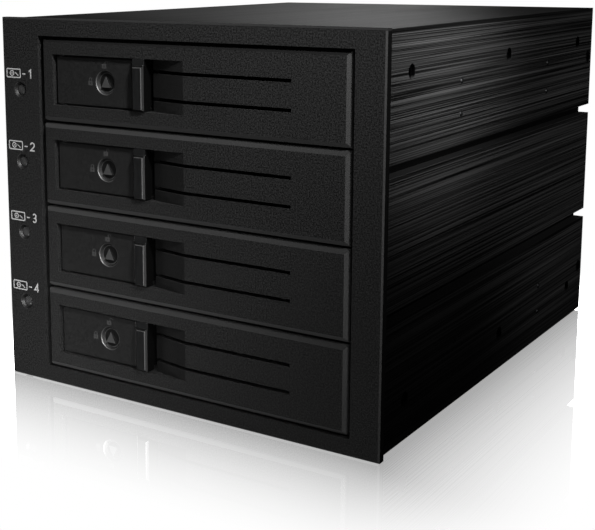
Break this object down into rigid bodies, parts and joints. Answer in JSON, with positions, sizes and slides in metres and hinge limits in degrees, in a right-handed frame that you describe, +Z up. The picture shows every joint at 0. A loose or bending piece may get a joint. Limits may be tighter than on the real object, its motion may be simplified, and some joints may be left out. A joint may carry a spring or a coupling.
{
  "type": "drive cage",
  "caption": "Drive cage with lockable slide-out trays behind one bezel, swinging levers, a brushed case with side grooves, a backplane and a rear fan.",
  "frame": {"origin": "bottom centre of the bezel's front face", "axes": "+X to the right seen from the front, +Y from the bezel to the rear, +Z up"},
  "size_m": [0.1484, 0.1971, 0.129],
  "materials": {
    "moulding": "fine-grained matte black moulding",
    "lever_plastic": "smooth matte black moulding",
    "case_metal": "black, brushed from front to rear",
    "sheet_metal": "black powder coat",
    "tray_metal": "dark grey coated sheet",
    "latch_metal": "satin charcoal",
    "lock_metal": "satin black",
    "lens": "smoked translucent",
    "indicator": "translucent body",
    "board": "green solder mask",
    "socket": "black moulding",
    "white_plastic": "natural nylon",
    "rail_plastic": "black moulding",
    "fan_plastic": "black glass-filled moulding",
    "cable": "black sleeve",
    "zinc": "zinc plated",
    "rivet": "plain aluminium head",
    "black_screw": "black oxide",
    "wire": "bright plated wire"
  },
  "bodies": {
    "root": {"front_bezel": "moulding", "light_guides": "lens", "indicator_board": "board", "indicators": "indicator", "indicator_screws": "zinc", "indicator_cable": "cable", "case_shell": "case_metal", "bottom_plate": "sheet_metal", "bottom_screws": "black_screw", "side_threads": "zinc", "guide_rail_left": "rail_plastic", "guide_rail_right": "rail_plastic", "rail_rivets": "rivet", "bezel_screws": "black_screw", "backplane_board": "board", "drive_connectors": "socket", "data_ports": "socket", "power_ports": "white_plastic", "fan_header": "white_plastic", "backplane_screws": "zinc", "rear_panel": "sheet_metal", "rear_panel_screws": "black_screw", "fan_frame": "fan_plastic", "fan_guard": "wire", "fan_screws": "black_screw", "fan_cable": "cable"},
    "rotor": {"fan_rotor": "fan_plastic"},
    "tray_1": {"tray_1_front": "moulding", "tray_1_base": "tray_metal", "tray_1_screws": "black_screw", "tray_1_lever_pin": "zinc"},
    "lever_1": {"tray_1_lever": "lever_plastic", "tray_1_latch_spring": "zinc"},
    "latch_1": {"tray_1_latch": "latch_metal"},
    "lock_1": {"tray_1_lock_core": "lock_metal"},
    "tray_2": {"tray_2_front": "moulding", "tray_2_base": "tray_metal", "tray_2_screws": "black_screw", "tray_2_lever_pin": "zinc"},
    "lever_2": {"tray_2_lever": "lever_plastic", "tray_2_latch_spring": "zinc"},
    "latch_2": {"tray_2_latch": "latch_metal"},
    "lock_2": {"tray_2_lock_core": "lock_metal"},
    "tray_3": {"tray_3_front": "moulding", "tray_3_base": "tray_metal", "tray_3_screws": "black_screw", "tray_3_lever_pin": "zinc"},
    "lever_3": {"tray_3_lever": "lever_plastic", "tray_3_latch_spring": "zinc"},
    "latch_3": {"tray_3_latch": "latch_metal"},
    "lock_3": {"tray_3_lock_core": "lock_metal"},
    "tray_4": {"tray_4_front": "moulding", "tray_4_base": "tray_metal", "tray_4_screws": "black_screw", "tray_4_lever_pin": "zinc"},
    "lever_4": {"tray_4_lever": "lever_plastic", "tray_4_latch_spring": "zinc"},
    "latch_4": {"tray_4_latch": "latch_metal"},
    "lock_4": {"tray_4_lock_core": "lock_metal"}
  },
  "joints": [
    {"name": "fan_spin", "type": "hinge", "parent": "root", "child": "rotor", "pos_m": [0.025, 0.184, 0.06432], "axis": [0, 1, 0], "continuous": true},
    {"name": "tray_1_slide", "type": "slide", "parent": "root", "child": "tray_1", "axis": [0, -1, 0], "range_m": [0, 0.15]},
    {"name": "lever_1_swing", "type": "hinge", "parent": "tray_1", "child": "lever_1", "pos_m": [-0.0482, 0.003, 0.10827], "axis": [0, 0, -1], "range_deg": [0, 75]},
    {"name": "latch_1_slide", "type": "slide", "parent": "lever_1", "child": "latch_1", "axis": [-1, 0, 0], "range_m": [0, 0.0007], "stiffness_N_per_m": 800},
    {"name": "lock_1_turn", "type": "hinge", "parent": "lever_1", "child": "lock_1", "pos_m": [-0.0288, 0.005, 0.10827], "axis": [0, -1, 0], "range_deg": [0, 90]},
    {"name": "tray_2_slide", "type": "slide", "parent": "root", "child": "tray_2", "axis": [0, -1, 0], "range_m": [0, 0.15]},
    {"name": "lever_2_swing", "type": "hinge", "parent": "tray_2", "child": "lever_2", "pos_m": [-0.0482, 0.003, 0.07898], "axis": [0, 0, -1], "range_deg": [0, 75]},
    {"name": "latch_2_slide", "type": "slide", "parent": "lever_2", "child": "latch_2", "axis": [-1, 0, 0], "range_m": [0, 0.0007], "stiffness_N_per_m": 800},
    {"name": "lock_2_turn", "type": "hinge", "parent": "lever_2", "child": "lock_2", "pos_m": [-0.0288, 0.005, 0.07898], "axis": [0, -1, 0], "range_deg": [0, 90]},
    {"name": "tray_3_slide", "type": "slide", "parent": "root", "child": "tray_3", "axis": [0, -1, 0], "range_m": [0, 0.15]},
    {"name": "lever_3_swing", "type": "hinge", "parent": "tray_3", "child": "lever_3", "pos_m": [-0.0482, 0.003, 0.04967], "axis": [0, 0, -1], "range_deg": [0, 75]},
    {"name": "latch_3_slide", "type": "slide", "parent": "lever_3", "child": "latch_3", "axis": [-1, 0, 0], "range_m": [0, 0.0007], "stiffness_N_per_m": 800},
    {"name": "lock_3_turn", "type": "hinge", "parent": "lever_3", "child": "lock_3", "pos_m": [-0.0288, 0.005, 0.04967], "axis": [0, -1, 0], "range_deg": [0, 90]},
    {"name": "tray_4_slide", "type": "slide", "parent": "root", "child": "tray_4", "axis": [0, -1, 0], "range_m": [0, 0.15]},
    {"name": "lever_4_swing", "type": "hinge", "parent": "tray_4", "child": "lever_4", "pos_m": [-0.0482, 0.003, 0.02038], "axis": [0, 0, -1], "range_deg": [0, 75]},
    {"name": "latch_4_slide", "type": "slide", "parent": "lever_4", "child": "latch_4", "axis": [-1, 0, 0], "range_m": [0, 0.0007], "stiffness_N_per_m": 800},
    {"name": "lock_4_turn", "type": "hinge", "parent": "lever_4", "child": "lock_4", "pos_m": [-0.0288, 0.005, 0.02038], "axis": [0, -1, 0], "range_deg": [0, 90]}
  ]
}
